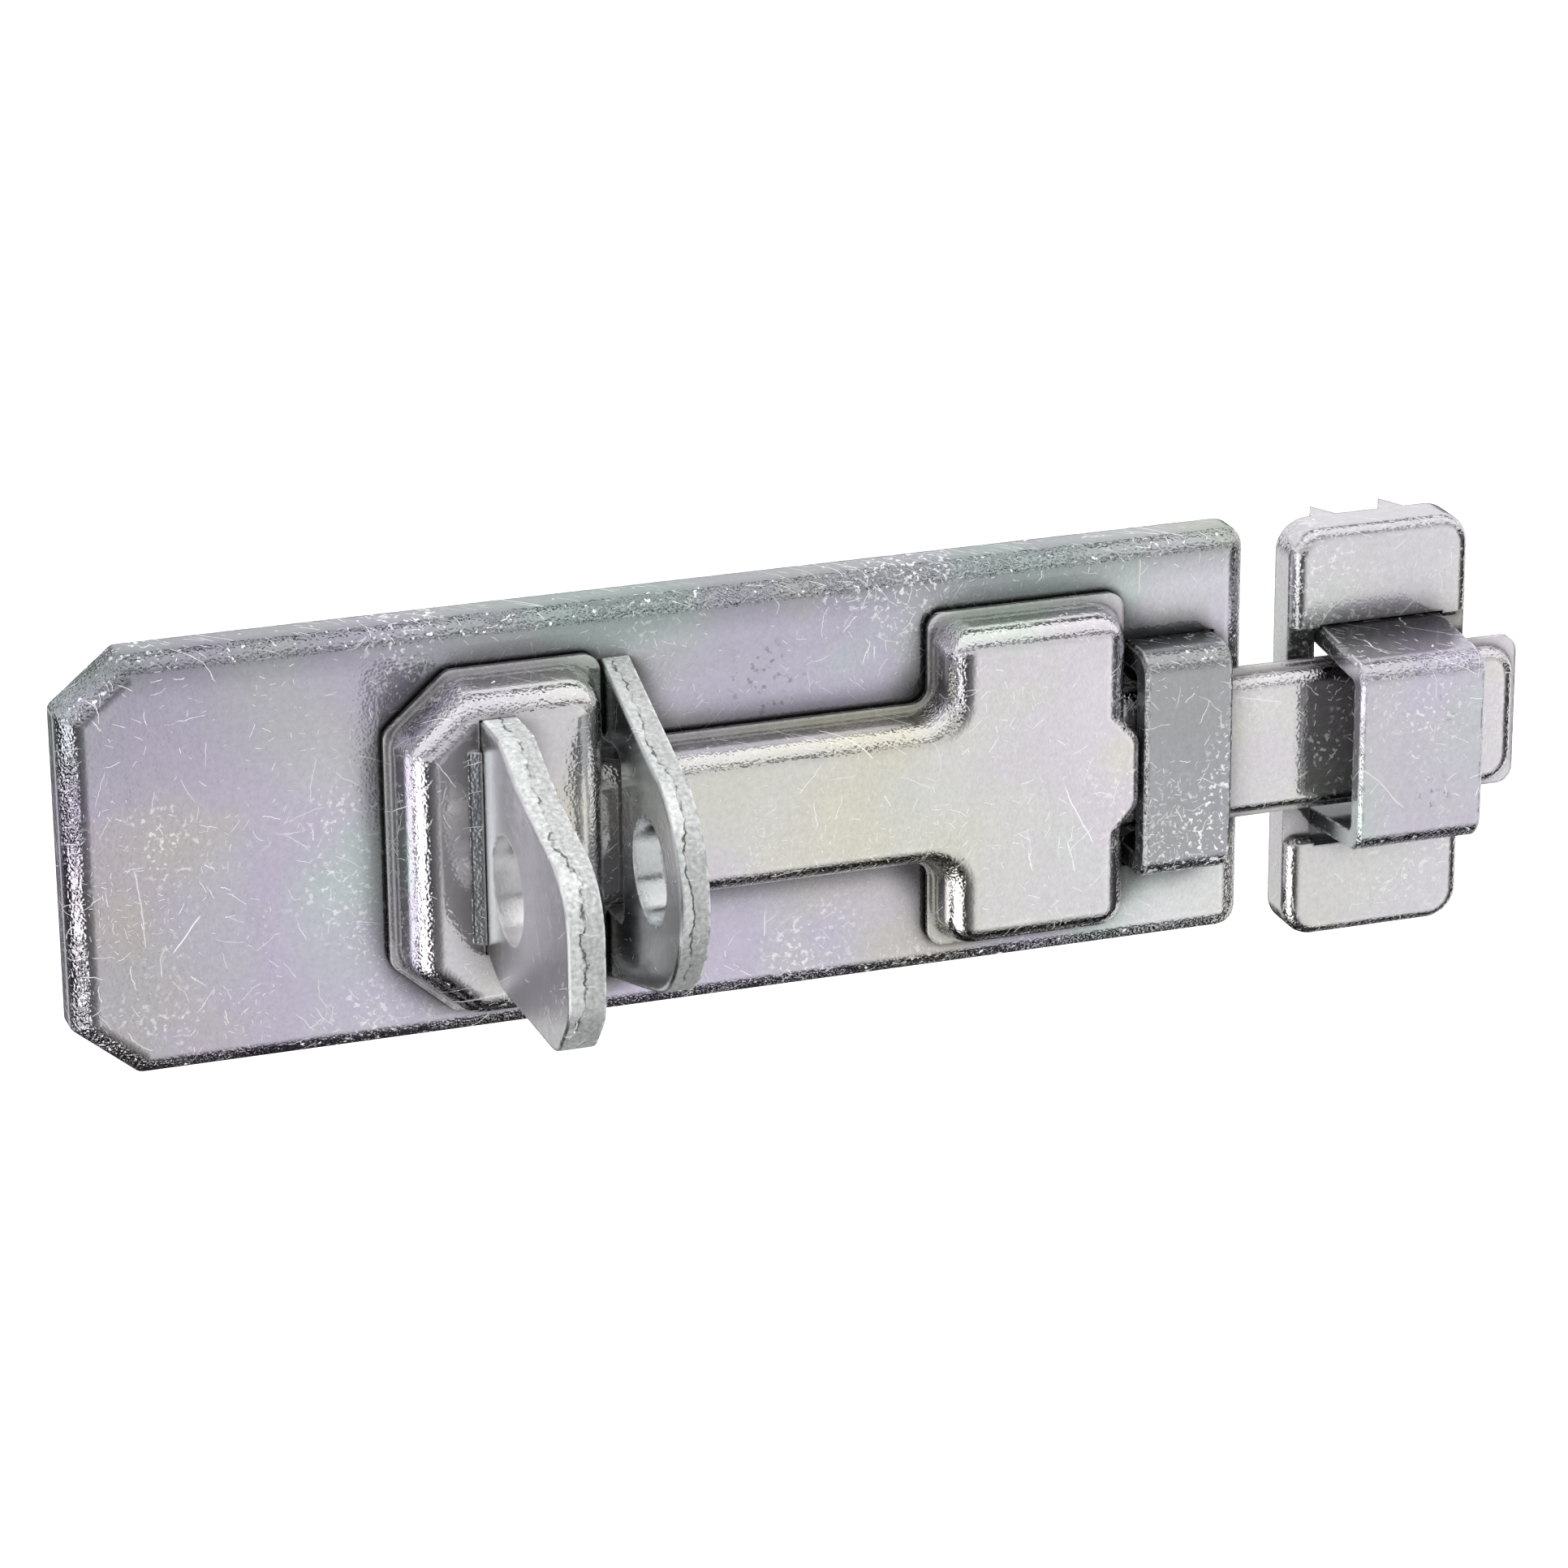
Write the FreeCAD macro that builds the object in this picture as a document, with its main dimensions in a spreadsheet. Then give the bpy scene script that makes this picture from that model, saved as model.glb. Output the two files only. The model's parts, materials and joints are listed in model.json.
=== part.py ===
import FreeCAD, Part
import math
import os
import Sketcher

# Security padbolt in millimetres. X runs along the plate and Z is up.
# The door plane is Y = 0, outward is -Y, and a level is a distance outward from the door plane.

VALUES = {
    "plate_length": 141.4,
    "plate_height": 50.0,
    "plate_depth": 5.5,
    "plate_sheet": 1.8,
    "plate_edge_radius": 3.0,
    "plate_corner_radius": 2.4,
    "plate_cut_radius": 1.2,
    "plate_chamfer_along": 7.5,
    "plate_chamfer_up": 6.2,
    "screw_hole_radius": 2.6,
    "screw_spacing_along": 62.0,
    "screw_spacing_up": 28.0,
    "screw_centre": 11.0,
    "mechanism_drop": 0.8,
    "fit_gap": 0.1,
    "eye_level": 23.0,
    "eye_radius": 6.15,
    "lug_roll": 0.5,
    "strap_edge": 0.4,
    "inner_bend": 0.9,
    "fixed_lug_left": -8.6,
    "fixed_lug_thickness": 3.4,
    "fixed_lug_nose_level": 20.5,
    "fixed_lug_nose_radius": 13.8,
    "fixed_lug_nose_drop": 0.8,
    "fixed_lug_foot": 19.4,
    "fixed_lug_tab_inner": 12.4,
    "fixed_lug_tab_outer": 17.2,
    "lug_window_half": 10.5,
    "lug_window_level": 12.9,
    "lug_window_radius": 2.0,
    "tab_level": 2.0,
    "guide_left": 55.3,
    "guide_width": 11.0,
    "guide_half": 14.0,
    "guide_sheet": 2.8,
    "guide_level": 12.1,
    "guide_bend": 3.2,
    "bolt_foot": 6.0,
    "bolt_draft": 8.0,
    "bolt_sheet": 1.8,
    "rim_width": 0.6,
    "rim_height": 0.8,
    "rim_corner_radius": 2.0,
    "shell_overlap": 6.0,
    "head_left": -34.4,
    "head_right": -9.0,
    "head_half": 20.5,
    "head_level": 13.6,
    "head_chamfer_along": 7.5,
    "head_chamfer_up": 6.6,
    "head_edge_radius": 3.4,
    "head_corner_radius": 3.7,
    "neck_half": 9.7,
    "cross_left": 30.3,
    "cross_right": 54.5,
    "cross_half": 20.45,
    "cross_level": 12.2,
    "cross_edge_radius": 3.1,
    "cross_corner_radius": 3.3,
    "nose_root": 50.0,
    "nose_root_half": 9.5,
    "nose_end": 54.9,
    "nose_half": 4.3,
    "nose_flare": 5.0,
    "nose_round": 2.4,
    "nose_edge_radius": 1.4,
    "tongue_half": 9.3,
    "tongue_level": 8.9,
    "tongue_end": 105.0,
    "tongue_edge_radius": 1.9,
    "tongue_corner_radius": 3.6,
    "bolt_lug_left": -25.0,
    "bolt_lug_thickness": 4.2,
    "bolt_lug_root": 7.0,
    "bolt_lug_nose": 45.9,
    "lug_waist_level": 14.2,
    "lug_hip_level": 18.6,
    "lug_hip_drop": 13.4,
    "lug_hip_radius": 10.0,
    "lug_chin_back": 5.2,
    "lug_chin_drop": 12.8,
    "lug_lip_drop": 6.8,
    "lug_tip_radius": 5.6,
    "lug_brow_rise": 8.0,
    "lug_brow_radius": 8.0,
    "lug_flank_level": 29.0,
    "lug_flank_rise": 12.6,
    "lug_flank_radius": 36.0,
    "lug_shoulder_level": 20.4,
    "slot_bottom": -11.3,
    "slot_top": 16.7,
    "slot_gap": 0.12,
    "slot_lip_width": 1.45,
    "slot_lip_height": 0.8,
    "slot_lip_sink": 0.3,
    "slot_lip_start": 1.5,
    "slot_lip_stop": 3.5,
    "keeper_left": 76.5,
    "keeper_width": 22.7,
    "keeper_half": 25.6,
    "keeper_drop": 0.9,
    "keeper_depth": 5.6,
    "keeper_sheet": 1.8,
    "keeper_end_wall": 2.8,
    "keeper_edge_radius": 1.7,
    "keeper_corner_radius": 3.8,
    "keeper_window_half": 13.9,
    "keeper_rail": 3.4,
    "keeper_rail_half": 12.9,
    "keeper_rail_step": 1.4,
    "keeper_rail_edge": 0.7,
    "spike_length": 3.6,
    "spike_width": 3.4,
    "spike_thickness": 1.4,
    "spike_spacing": 8.8,
    "spike_start": 5.9,
    "spike_root": 1.0,
    "strap_width": 15.8,
    "strap_foot_half": 12.9,
    "strap_front_half": 11.5,
    "strap_sheet": 2.2,
    "strap_level": 18.0,
    "strap_toe": 4.6,
    "strap_bend": 3.0,
}

doc = FreeCAD.newDocument("padbolt")
sheet = doc.addObject("Spreadsheet::Sheet", "dims")


class Dim:
    """A length together with its formula in the sheet, so that one expression gives both."""

    def __init__(self, value, text):
        self.value = value
        self.text = text

    def join(self, other, sign, value):
        return Dim(value, "(" + self.text + " " + sign + " " + other.text + ")")

    def __add__(self, other):
        other = dim(other)
        return self.join(other, "+", self.value + other.value)

    def __sub__(self, other):
        other = dim(other)
        return self.join(other, "-", self.value - other.value)

    def __rsub__(self, other):
        return dim(other) - self

    def __mul__(self, factor):
        return Dim(self.value * factor, "(" + self.text + " * " + repr(factor) + ")")

    def __truediv__(self, divisor):
        return Dim(self.value / divisor, "(" + self.text + " / " + repr(divisor) + ")")

    def __neg__(self):
        return Dim(-self.value, "(-1 * " + self.text + ")")

    __radd__ = __add__
    __rmul__ = __mul__


def dim(value):
    """Any number as a Dim."""
    if isinstance(value, Dim):
        return value
    return Dim(float(value), repr(float(value)))


class Sizes:
    """The sheet's values by name."""


size = Sizes()
for row, (name, value) in enumerate(VALUES.items(), start=1):
    sheet.set("A" + str(row), name)
    sheet.set("B" + str(row), repr(value))
    sheet.setAlias("B" + str(row), name)
    setattr(size, name, Dim(value, "dims." + name))
doc.recompute()


def new_body(name):
    """An empty body."""
    return doc.addObject("PartDesign::Body", name)


def new_sketch(body, name, plane, level=None):
    """A sketch on one of the body's origin planes, shifted along the plane's normal by a level."""
    sketch = body.newObject("Sketcher::SketchObject", name)
    support = [item for item in body.Origin.OriginFeatures if item.Role == plane][0]
    sketch.AttachmentSupport = [(support, "")]
    sketch.MapMode = "FlatFace"
    if level is not None:
        sketch.setExpression("AttachmentOffset.Base.z", dim(level).text)
    return sketch


def pin(sketch, geometry, point, place):
    """Hold one point of a sketch at a place whose two coordinates follow the sheet."""
    for kind, coordinate, axis in (("DistanceX", place[0], -2), ("DistanceY", place[1], -1)):
        coordinate = dim(coordinate)
        if abs(coordinate.value) < 1e-9:
            sketch.addConstraint(Sketcher.Constraint("PointOnObject", geometry, point, axis))
            continue
        ends = (-1, 1, geometry, point)
        if coordinate.value < 0:
            ends = (geometry, point, -1, 1)
            coordinate = -coordinate
        index = sketch.addConstraint(Sketcher.Constraint(kind, *ends, coordinate.value))
        sketch.setExpression("Constraints[" + str(index) + "]", coordinate.text)


def vector(place):
    """A sketch place as a vector."""
    return FreeCAD.Vector(dim(place[0]).value, dim(place[1]).value, 0)


def outline(sketch, places):
    """A closed outline of straight lines through places that follow the sheet."""
    first = sketch.GeometryCount
    count = len(places)
    for index in range(count):
        start, end = places[index], places[(index + 1) % count]
        sketch.addGeometry(Part.LineSegment(vector(start), vector(end)), False)
    for index in range(count):
        following = first + (index + 1) % count
        sketch.addConstraint(Sketcher.Constraint("Coincident", first + index, 2, following, 1))
    for index, place in enumerate(places):
        pin(sketch, first + index, 1, place)


def rectangle(sketch, left, bottom, right, top):
    """A closed rectangle between two corners."""
    outline(sketch, [(left, bottom), (right, bottom), (right, top), (left, top)])


def circle(sketch, centre, radius):
    """A circle whose centre and radius follow the sheet."""
    geometry = sketch.addGeometry(Part.Circle(vector(centre), FreeCAD.Vector(0, 0, 1), radius.value), False)
    pin(sketch, geometry, 3, centre)
    index = sketch.addConstraint(Sketcher.Constraint("Radius", geometry, radius.value))
    sketch.setExpression("Constraints[" + str(index) + "]", radius.text)


def pad(body, name, sketch, length):
    """Material from a sketch along its normal."""
    feature = body.newObject("PartDesign::Pad", name)
    feature.Profile = sketch
    feature.setExpression("Length", dim(length).text)
    finish(body, feature)
    return feature


def lean(body, name, base, angle):
    """Walls that lean inward from the foot of a pad towards its front."""
    feature = body.newObject("PartDesign::Draft", name)
    normals = [face.normalAt(0, 0) for face in base.Shape.Faces]
    names = ["Face" + str(number) for number in range(1, len(normals) + 1)]
    walls = [label for label, normal in zip(names, normals) if abs(normal.y) < 1e-6]
    foot_face = [label for label, normal in zip(names, normals) if normal.y > 0.99]
    feature.Base = (base, walls)
    feature.NeutralPlane = (base, foot_face)
    feature.setExpression("Angle", dim(angle).text)
    finish(body, feature)
    if feature.Shape.Volume > base.Shape.Volume:
        feature.Reversed = True
        finish(body, feature)
    return feature


def pocket(body, name, sketch, depth=None, into_front=True):
    """A cut from a sketch, to a depth or through everything; into_front cuts outward from the door plane."""
    before = body.Tip.Shape.Volume
    feature = body.newObject("PartDesign::Pocket", name)
    feature.Profile = sketch
    feature.Reversed = into_front
    if depth is None:
        feature.Type = "ThroughAll"
    else:
        feature.setExpression("Length", dim(depth).text)
    finish(body, feature)
    if not feature.Shape.Volume < before - 1e-6:
        raise RuntimeError("no material removed by " + name)
    return feature


def finish(body, feature):
    """Make a feature the body's end and work it out."""
    for item in feature.OutList:
        if item.TypeId == "Sketcher::SketchObject":
            item.Visibility = False
    doc.recompute()
    body.Tip = feature
    doc.recompute()


def pick(feature, test):
    """Names of a feature's edges whose bounding box meets a test."""
    edges = enumerate(feature.Shape.Edges, start=1)
    return ["Edge" + str(number) for number, edge in edges if test(edge.BoundBox)]


def fillet(body, name, base, radius, test):
    """Rounded edges on the edges that meet a test."""
    feature = body.newObject("PartDesign::Fillet", name)
    feature.Base = (base, pick(base, test))
    feature.setExpression("Radius", dim(radius).text)
    finish(body, feature)
    return feature


def chamfer(body, name, base, width, test):
    """Flat edges on the edges that meet a test."""
    feature = body.newObject("PartDesign::Chamfer", name)
    feature.Base = (base, pick(base, test))
    feature.setExpression("Size", dim(width).text)
    finish(body, feature)
    return feature


def at_level(level):
    """Test for edges that lie on one level."""
    height = -dim(level).value
    return lambda box: abs(box.YMin - height) < 1e-4 and abs(box.YMax - height) < 1e-4


def distance(first, second, place):
    """How far two coordinates are from a place."""
    return math.hypot(first - dim(place[0]).value, second - dim(place[1]).value)


def across(*places):
    """Test for edges that run from level to level near any of the given X, Z places."""

    def test(box):
        if box.YLength < 0.5:
            return False
        return any(distance(box.Center.x, box.Center.z, place) < 1.3 for place in places)

    return test


def sideways(*places):
    """Test for edges that run along X near any of the given level, Z places."""

    def test(box):
        if box.XLength < 0.5 or box.YLength > 1e-4 or box.ZLength > 1e-4:
            return False
        return any(distance(-box.Center.y, box.Center.z, place) < 0.05 for place in places)

    return test


def lug_edge(left):
    """Test for the outer edges of a lug on its left face, which the punch has rolled over."""

    def test(box):
        if abs(box.XMin - left.value) > 1e-4 or abs(box.XMax - left.value) > 1e-4:
            return False
        is_eye = abs(box.Center.y + size.eye_level.value) < 0.1 and box.ZLength < size.eye_radius.value * 2.1
        return -box.YMin > size.lug_window_level.value + 1.0 and not is_eye

    return test


def strap_edge(level, half):
    """Test for the outer edges along both sides of a bent strap, from leg to leg."""

    def test(box):
        if box.XLength > 1e-6:
            return False
        on_front = -box.YMin > level.value - 1e-3
        on_leg = max(abs(box.ZMin), abs(box.ZMax)) > half.value - 1e-3 and box.YLength > 4.0
        return on_front or on_leg

    return test


def mirrored(places):
    """Places followed by their mirror images in the mid-line, in the order of a closed outline."""
    return places + [(place[0], -dim(place[1])) for place in reversed(places)]


def profile(places):
    """Level and height pairs as places in a sketch on the plane across the plate."""
    return [(-dim(level), height) for level, height in places]


def follow_drop(node, extra=None):
    """Set a node below the plate's mid-line."""
    drop = size.mechanism_drop if extra is None else size.mechanism_drop + extra
    node.setExpression("Placement.Base.z", (-drop).text)


def tangent_place(corner, centre, radius, side):
    """Where the line from a corner touches a circle, on the given side of the line to its centre."""
    across_x = centre[0] - corner[0]
    across_z = centre[1] - corner[1]
    reach = math.hypot(across_x, across_z)
    length = math.sqrt(reach * reach - radius * radius)
    turn = math.atan2(across_z, across_x) + side * math.asin(radius / reach)
    return corner[0] + length * math.cos(turn), corner[1] + length * math.sin(turn)


# How far the ends of a cut corner move along their sides for each unit that the outline is drawn in.
CUT_SHARE = 0.45

# Base plate: a shallow tray with two cut corners, rolled edges and a hollow back.
half_length = size.plate_length / 2
half_height = size.plate_height / 2


def plate_outline(inset):
    """The base plate's outline, drawn in by an inset."""
    along = size.plate_chamfer_along
    up = size.plate_chamfer_up
    right = half_length - inset
    top = half_height - inset
    cut = inset * CUT_SHARE
    return [
        (-half_length + inset, -half_height + up + cut),
        (-half_length + along + cut, -top),
        (right, -top),
        (right, top),
        (-half_length + along + cut, top),
        (-half_length + inset, half_height - up - cut),
    ]


base_plate = new_body("base_plate")
plate_sketch = new_sketch(base_plate, "plate_sketch", "XZ_Plane")
outline(plate_sketch, plate_outline(dim(0)))
plate_pad = pad(base_plate, "plate_pad", plate_sketch, size.plate_depth)
plate_corners = [(half_length, half_height), (half_length, -half_height)]
plate_round = fillet(base_plate, "plate_round", plate_pad, size.plate_corner_radius, across(*plate_corners))
plate_cuts = [place for place in plate_outline(dim(0)) if place[0].value < 0]
plate_soft = fillet(base_plate, "plate_soft", plate_round, size.plate_cut_radius, across(*plate_cuts))
fillet(base_plate, "plate_edge", plate_soft, size.plate_edge_radius, at_level(size.plate_depth))
hollow_sketch = new_sketch(base_plate, "hollow_sketch", "XZ_Plane")
outline(hollow_sketch, plate_outline(size.plate_sheet))
pocket(base_plate, "plate_hollow", hollow_sketch, size.plate_depth - size.plate_sheet)

# Screw holes: under the bolt's head and cross while it is thrown, free when it is drawn back.
screw_sketch = new_sketch(base_plate, "screw_sketch", "XZ_Plane")
for along_sign in (-1, 1):
    for up_sign in (-1, 1):
        along = size.screw_centre + size.screw_spacing_along * (along_sign / 2)
        circle(screw_sketch, (along, size.screw_spacing_up * (up_sign / 2)), size.screw_hole_radius)
pocket(base_plate, "screw_holes", screw_sketch)

# Slots for the fixed lug's tabs and the guide strap's legs.
slot_sketch = new_sketch(base_plate, "slot_sketch", "XZ_Plane")
gap = size.fit_gap
for sign in (-1, 1):
    inner = (size.fixed_lug_tab_inner - gap) * sign - size.mechanism_drop
    outer = (size.fixed_lug_tab_outer + gap) * sign - size.mechanism_drop
    left = size.fixed_lug_left - gap
    rectangle(slot_sketch, left, inner, left + size.fixed_lug_thickness + gap * 2, outer)
    inner = (size.guide_half - size.guide_sheet - gap) * sign - size.mechanism_drop
    outer = (size.guide_half + gap) * sign - size.mechanism_drop
    left = size.guide_left - gap
    rectangle(slot_sketch, left, inner, left + size.guide_width + gap * 2, outer)
pocket(base_plate, "plate_slots", slot_sketch)

# Fixed lug: a plate with a round nose, standing over the bolt's neck on two tabs.
fixed_lug = new_body("fixed_lug")
lug_sketch = new_sketch(fixed_lug, "lug_sketch", "YZ_Plane", size.fixed_lug_left)
nose_centre = (-size.fixed_lug_nose_level.value, -size.fixed_lug_nose_drop.value)
nose_radius = size.fixed_lug_nose_radius.value
foot_level = size.plate_depth
foot_top = (-foot_level.value, size.fixed_lug_foot.value)
foot_bottom = (-foot_level.value, -size.fixed_lug_foot.value)
leg = [
    (foot_level, size.fixed_lug_foot),
    (foot_level, size.fixed_lug_tab_outer),
    (size.tab_level, size.fixed_lug_tab_outer),
    (size.tab_level, size.fixed_lug_tab_inner),
    (foot_level, size.fixed_lug_tab_inner),
    (foot_level, size.lug_window_half),
    (size.lug_window_level, size.lug_window_half),
]
leg_places = profile(mirrored(leg))
for start, end in zip(leg_places[:-1], leg_places[1:]):
    lug_sketch.addGeometry(Part.LineSegment(vector(start), vector(end)), False)
lines = lug_sketch.GeometryCount
for index, place in enumerate(leg_places[:-1]):
    pin(lug_sketch, index, 1, place)
    if index:
        lug_sketch.addConstraint(Sketcher.Constraint("Coincident", index - 1, 2, index, 1))
pin(lug_sketch, lines - 1, 2, leg_places[-1])
middle = FreeCAD.Vector(nose_centre[0] - nose_radius, nose_centre[1], 0)
upper = FreeCAD.Vector(*tangent_place(foot_top, nose_centre, nose_radius, -1), 0)
lower = FreeCAD.Vector(*tangent_place(foot_bottom, nose_centre, nose_radius, 1), 0)
upper_line = lug_sketch.addGeometry(Part.LineSegment(vector(leg_places[0]), upper), False)
nose_arc = lug_sketch.addGeometry(Part.Arc(upper, middle, lower), False)
lower_line = lug_sketch.addGeometry(Part.LineSegment(lower, vector(leg_places[-1])), False)
lug_sketch.addConstraint(Sketcher.Constraint("Coincident", upper_line, 1, 0, 1))
lug_sketch.addConstraint(Sketcher.Constraint("Tangent", upper_line, 2, nose_arc, 1))
lug_sketch.addConstraint(Sketcher.Constraint("Tangent", nose_arc, 2, lower_line, 1))
lug_sketch.addConstraint(Sketcher.Constraint("Coincident", lower_line, 2, lines - 1, 2))
pin(lug_sketch, nose_arc, 3, (-size.fixed_lug_nose_level, -size.fixed_lug_nose_drop))
radius_index = lug_sketch.addConstraint(Sketcher.Constraint("Radius", nose_arc, nose_radius))
lug_sketch.setExpression("Constraints[" + str(radius_index) + "]", size.fixed_lug_nose_radius.text)
circle(lug_sketch, (-size.eye_level, 0), size.eye_radius)
lug_pad = pad(fixed_lug, "lug_pad", lug_sketch, size.fixed_lug_thickness)
window_corners = [(size.lug_window_level, size.lug_window_half * sign) for sign in (1, -1)]
lug_window = fillet(fixed_lug, "lug_window", lug_pad, size.lug_window_radius, sideways(*window_corners))
fillet(fixed_lug, "lug_roll", lug_window, size.lug_roll, lug_edge(size.fixed_lug_left))
follow_drop(fixed_lug)

# Guide strap: a bent strap over the tongue with both legs through the plate.
guide_strap = new_body("guide_strap")
guide_sketch = new_sketch(guide_strap, "guide_sketch", "YZ_Plane", size.guide_left)
guide_inner = size.guide_half - size.guide_sheet
guide_under = size.guide_level - size.guide_sheet
guide_half_profile = [
    (size.guide_level, size.guide_half),
    (size.tab_level, size.guide_half),
    (size.tab_level, guide_inner),
    (guide_under, guide_inner),
]
outline(guide_sketch, profile(mirrored(guide_half_profile)))
guide_pad = pad(guide_strap, "guide_pad", guide_sketch, size.guide_width)
guide_outer = [(size.guide_level, size.guide_half), (size.guide_level, -size.guide_half)]
guide_bend = fillet(guide_strap, "guide_bend", guide_pad, size.guide_bend, sideways(*guide_outer))
guide_corner = [(guide_under, guide_inner), (guide_under, -guide_inner)]
guide_inside = fillet(guide_strap, "guide_inside", guide_bend, size.inner_bend, sideways(*guide_corner))
guide_edges = strap_edge(size.guide_level, size.guide_half)
chamfer(guide_strap, "guide_edges", guide_inside, size.strap_edge, guide_edges)
follow_drop(guide_strap)

# Bolt: a drawn shell made of a head, a cross-shaped body with a nose, a tongue and a trimmed rim.
rim = size.rim_width


def head_outline(inset):
    """The head's outline, drawn in by an inset."""
    along = size.head_chamfer_along
    up = size.head_chamfer_up
    top = size.head_half - inset
    cut = inset * CUT_SHARE
    left = size.head_left + inset
    right = size.head_right - inset
    return mirrored(
        [
            (left, size.head_half - up - cut),
            (size.head_left + along + cut, top),
            (right, top),
        ]
    )


def cross_outline(inset, start):
    """The neck and the cross arms from a start to the cross's right side, drawn in by an inset."""
    return mirrored(
        [
            (start, size.neck_half - inset),
            (size.cross_left + inset, size.neck_half - inset),
            (size.cross_left + inset, size.cross_half - inset),
            (size.cross_right - inset, size.cross_half - inset),
        ]
    )


def shell_body(name, places, foot_level, level, draft, corners, corner_radius, edge_radius):
    """A drawn form: an outline with leaning walls, rounded corners and a rounded front edge."""
    body = new_body(name)
    sketch = new_sketch(body, name + "_sketch", "XZ_Plane", foot_level)
    outline(sketch, places)
    last = pad(body, name + "_pad", sketch, level - foot_level)
    if draft is not None:
        last = lean(body, name + "_lean", last, draft)
    if corners:
        last = fillet(body, name + "_corners", last, corner_radius, across(*corners))
    if edge_radius is not None:
        fillet(body, name + "_edge", last, edge_radius, at_level(level))
    return body


neck_start = size.head_right - size.shell_overlap
tongue_start = size.cross_right - size.shell_overlap
head_places = head_outline(rim)
head_form = shell_body(
    "head_form",
    head_places,
    size.bolt_foot,
    size.head_level,
    size.bolt_draft,
    head_places,
    size.head_corner_radius,
    size.head_edge_radius,
)
cross_places = cross_outline(rim, neck_start)
cross_corners = [place for place in cross_places if place[0].value > 0]
cross_form = shell_body(
    "cross_form",
    cross_places,
    size.bolt_foot,
    size.cross_level,
    size.bolt_draft,
    cross_corners,
    size.cross_corner_radius,
    size.cross_edge_radius,
)
tongue_side = size.tongue_half - rim
tongue_places = mirrored([(tongue_start, tongue_side), (size.tongue_end - rim, tongue_side)])
tongue_corners = tongue_places[1:3]
tongue_form = shell_body(
    "tongue_form",
    tongue_places,
    size.bolt_foot,
    size.tongue_level,
    size.bolt_draft,
    tongue_corners,
    size.tongue_corner_radius,
    size.tongue_edge_radius,
)

# The nose: the raised root of the tongue, flared into the cross by two hollow curves.
nose_form = new_body("nose_form")
nose_sketch = new_sketch(nose_form, "nose_sketch", "XZ_Plane", size.bolt_foot)
nose_upper = [
    (size.nose_root - size.shell_overlap, size.nose_root_half + size.shell_overlap),
    (size.nose_root, size.nose_root_half + size.shell_overlap),
    (size.nose_root, size.nose_root_half),
    (size.nose_end, size.nose_half),
]
nose_places = mirrored(nose_upper)
outline(nose_sketch, nose_places)
nose_pad = pad(nose_form, "nose_pad", nose_sketch, size.cross_level - size.bolt_foot)
nose_roots = across(nose_places[2], nose_places[5])
nose_flares = fillet(nose_form, "nose_flares", nose_pad, size.nose_flare, nose_roots)
nose_corners = across(nose_places[3], nose_places[4])
nose_rounds = fillet(nose_form, "nose_rounds", nose_flares, size.nose_round, nose_corners)
nose_front = lambda box: at_level(size.cross_level)(box) and box.XMax > size.nose_root.value + 0.05
fillet(nose_form, "nose_edge", nose_rounds, size.nose_edge_radius, nose_front)

# The rim: the trimmed flange all round the shell's foot.
rim_places = mirrored(
    [
        (size.head_left, size.head_half - size.head_chamfer_up),
        (size.head_left + size.head_chamfer_along, size.head_half),
        (size.head_right, size.head_half),
        (size.head_right, size.neck_half),
        (size.cross_left, size.neck_half),
        (size.cross_left, size.cross_half),
        (size.cross_right, size.cross_half),
        (size.cross_right, size.tongue_half),
        (size.tongue_end, size.tongue_half),
    ]
)
rim_form = shell_body(
    "rim_form",
    rim_places,
    size.bolt_foot,
    size.bolt_foot + size.rim_height,
    None,
    rim_places,
    size.rim_corner_radius,
    None,
)

# The hollow inside of the shell, open towards the door.
wall = rim + size.bolt_sheet
tongue_inside = mirrored(
    [
        (tongue_start - size.bolt_sheet, size.tongue_half - wall),
        (size.tongue_end - wall, size.tongue_half - wall),
    ]
)
hollow_places = [
    ("head_hollow", head_outline(wall), size.head_level),
    ("cross_hollow", cross_outline(wall, neck_start - size.bolt_sheet), size.cross_level),
    ("tongue_hollow", tongue_inside, size.tongue_level),
]
hollows = [
    shell_body(name, places, size.bolt_foot, level - size.bolt_sheet, size.bolt_draft, [], None, None)
    for name, places, level in hollow_places
]

# The slot pierced in the head for the lug, with a lip pushed up along its left side.
slot_form = new_body("slot_form")
head_slot_sketch = new_sketch(slot_form, "head_slot_sketch", "XZ_Plane", size.bolt_foot)
slot_left = size.bolt_lug_left - size.slot_gap
slot_right = size.bolt_lug_left + size.bolt_lug_thickness
rectangle(head_slot_sketch, slot_left, size.slot_bottom, slot_right, size.slot_top)
pad(slot_form, "slot_pad", head_slot_sketch, size.head_level)
lip_form = new_body("lip_form")
lip_sketch = new_sketch(lip_form, "lip_sketch", "XY_Plane", size.slot_bottom + size.slot_lip_start)
lip_foot = size.head_level - size.slot_lip_sink
lip_places = [
    (slot_left - size.slot_lip_width, -lip_foot),
    (slot_left - size.slot_lip_width, -size.head_level),
    (slot_left, -(size.head_level + size.slot_lip_height)),
    (slot_left, -lip_foot),
]
outline(lip_sketch, lip_places)
slot_length = size.slot_top - size.slot_bottom
pad(lip_form, "lip_pad", lip_sketch, slot_length - size.slot_lip_start - size.slot_lip_stop)

bolt_solid = doc.addObject("Part::MultiFuse", "bolt_solid")
bolt_solid.Shapes = [rim_form, head_form, cross_form, nose_form, tongue_form, lip_form]
bolt_hollow = doc.addObject("Part::MultiFuse", "bolt_hollow")
bolt_hollow.Shapes = hollows + [slot_form]
bolt = doc.addObject("Part::Cut", "bolt")
bolt.Base = bolt_solid
bolt.Tool = bolt_hollow
bolt.Refine = True
follow_drop(bolt)
doc.recompute()

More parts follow.
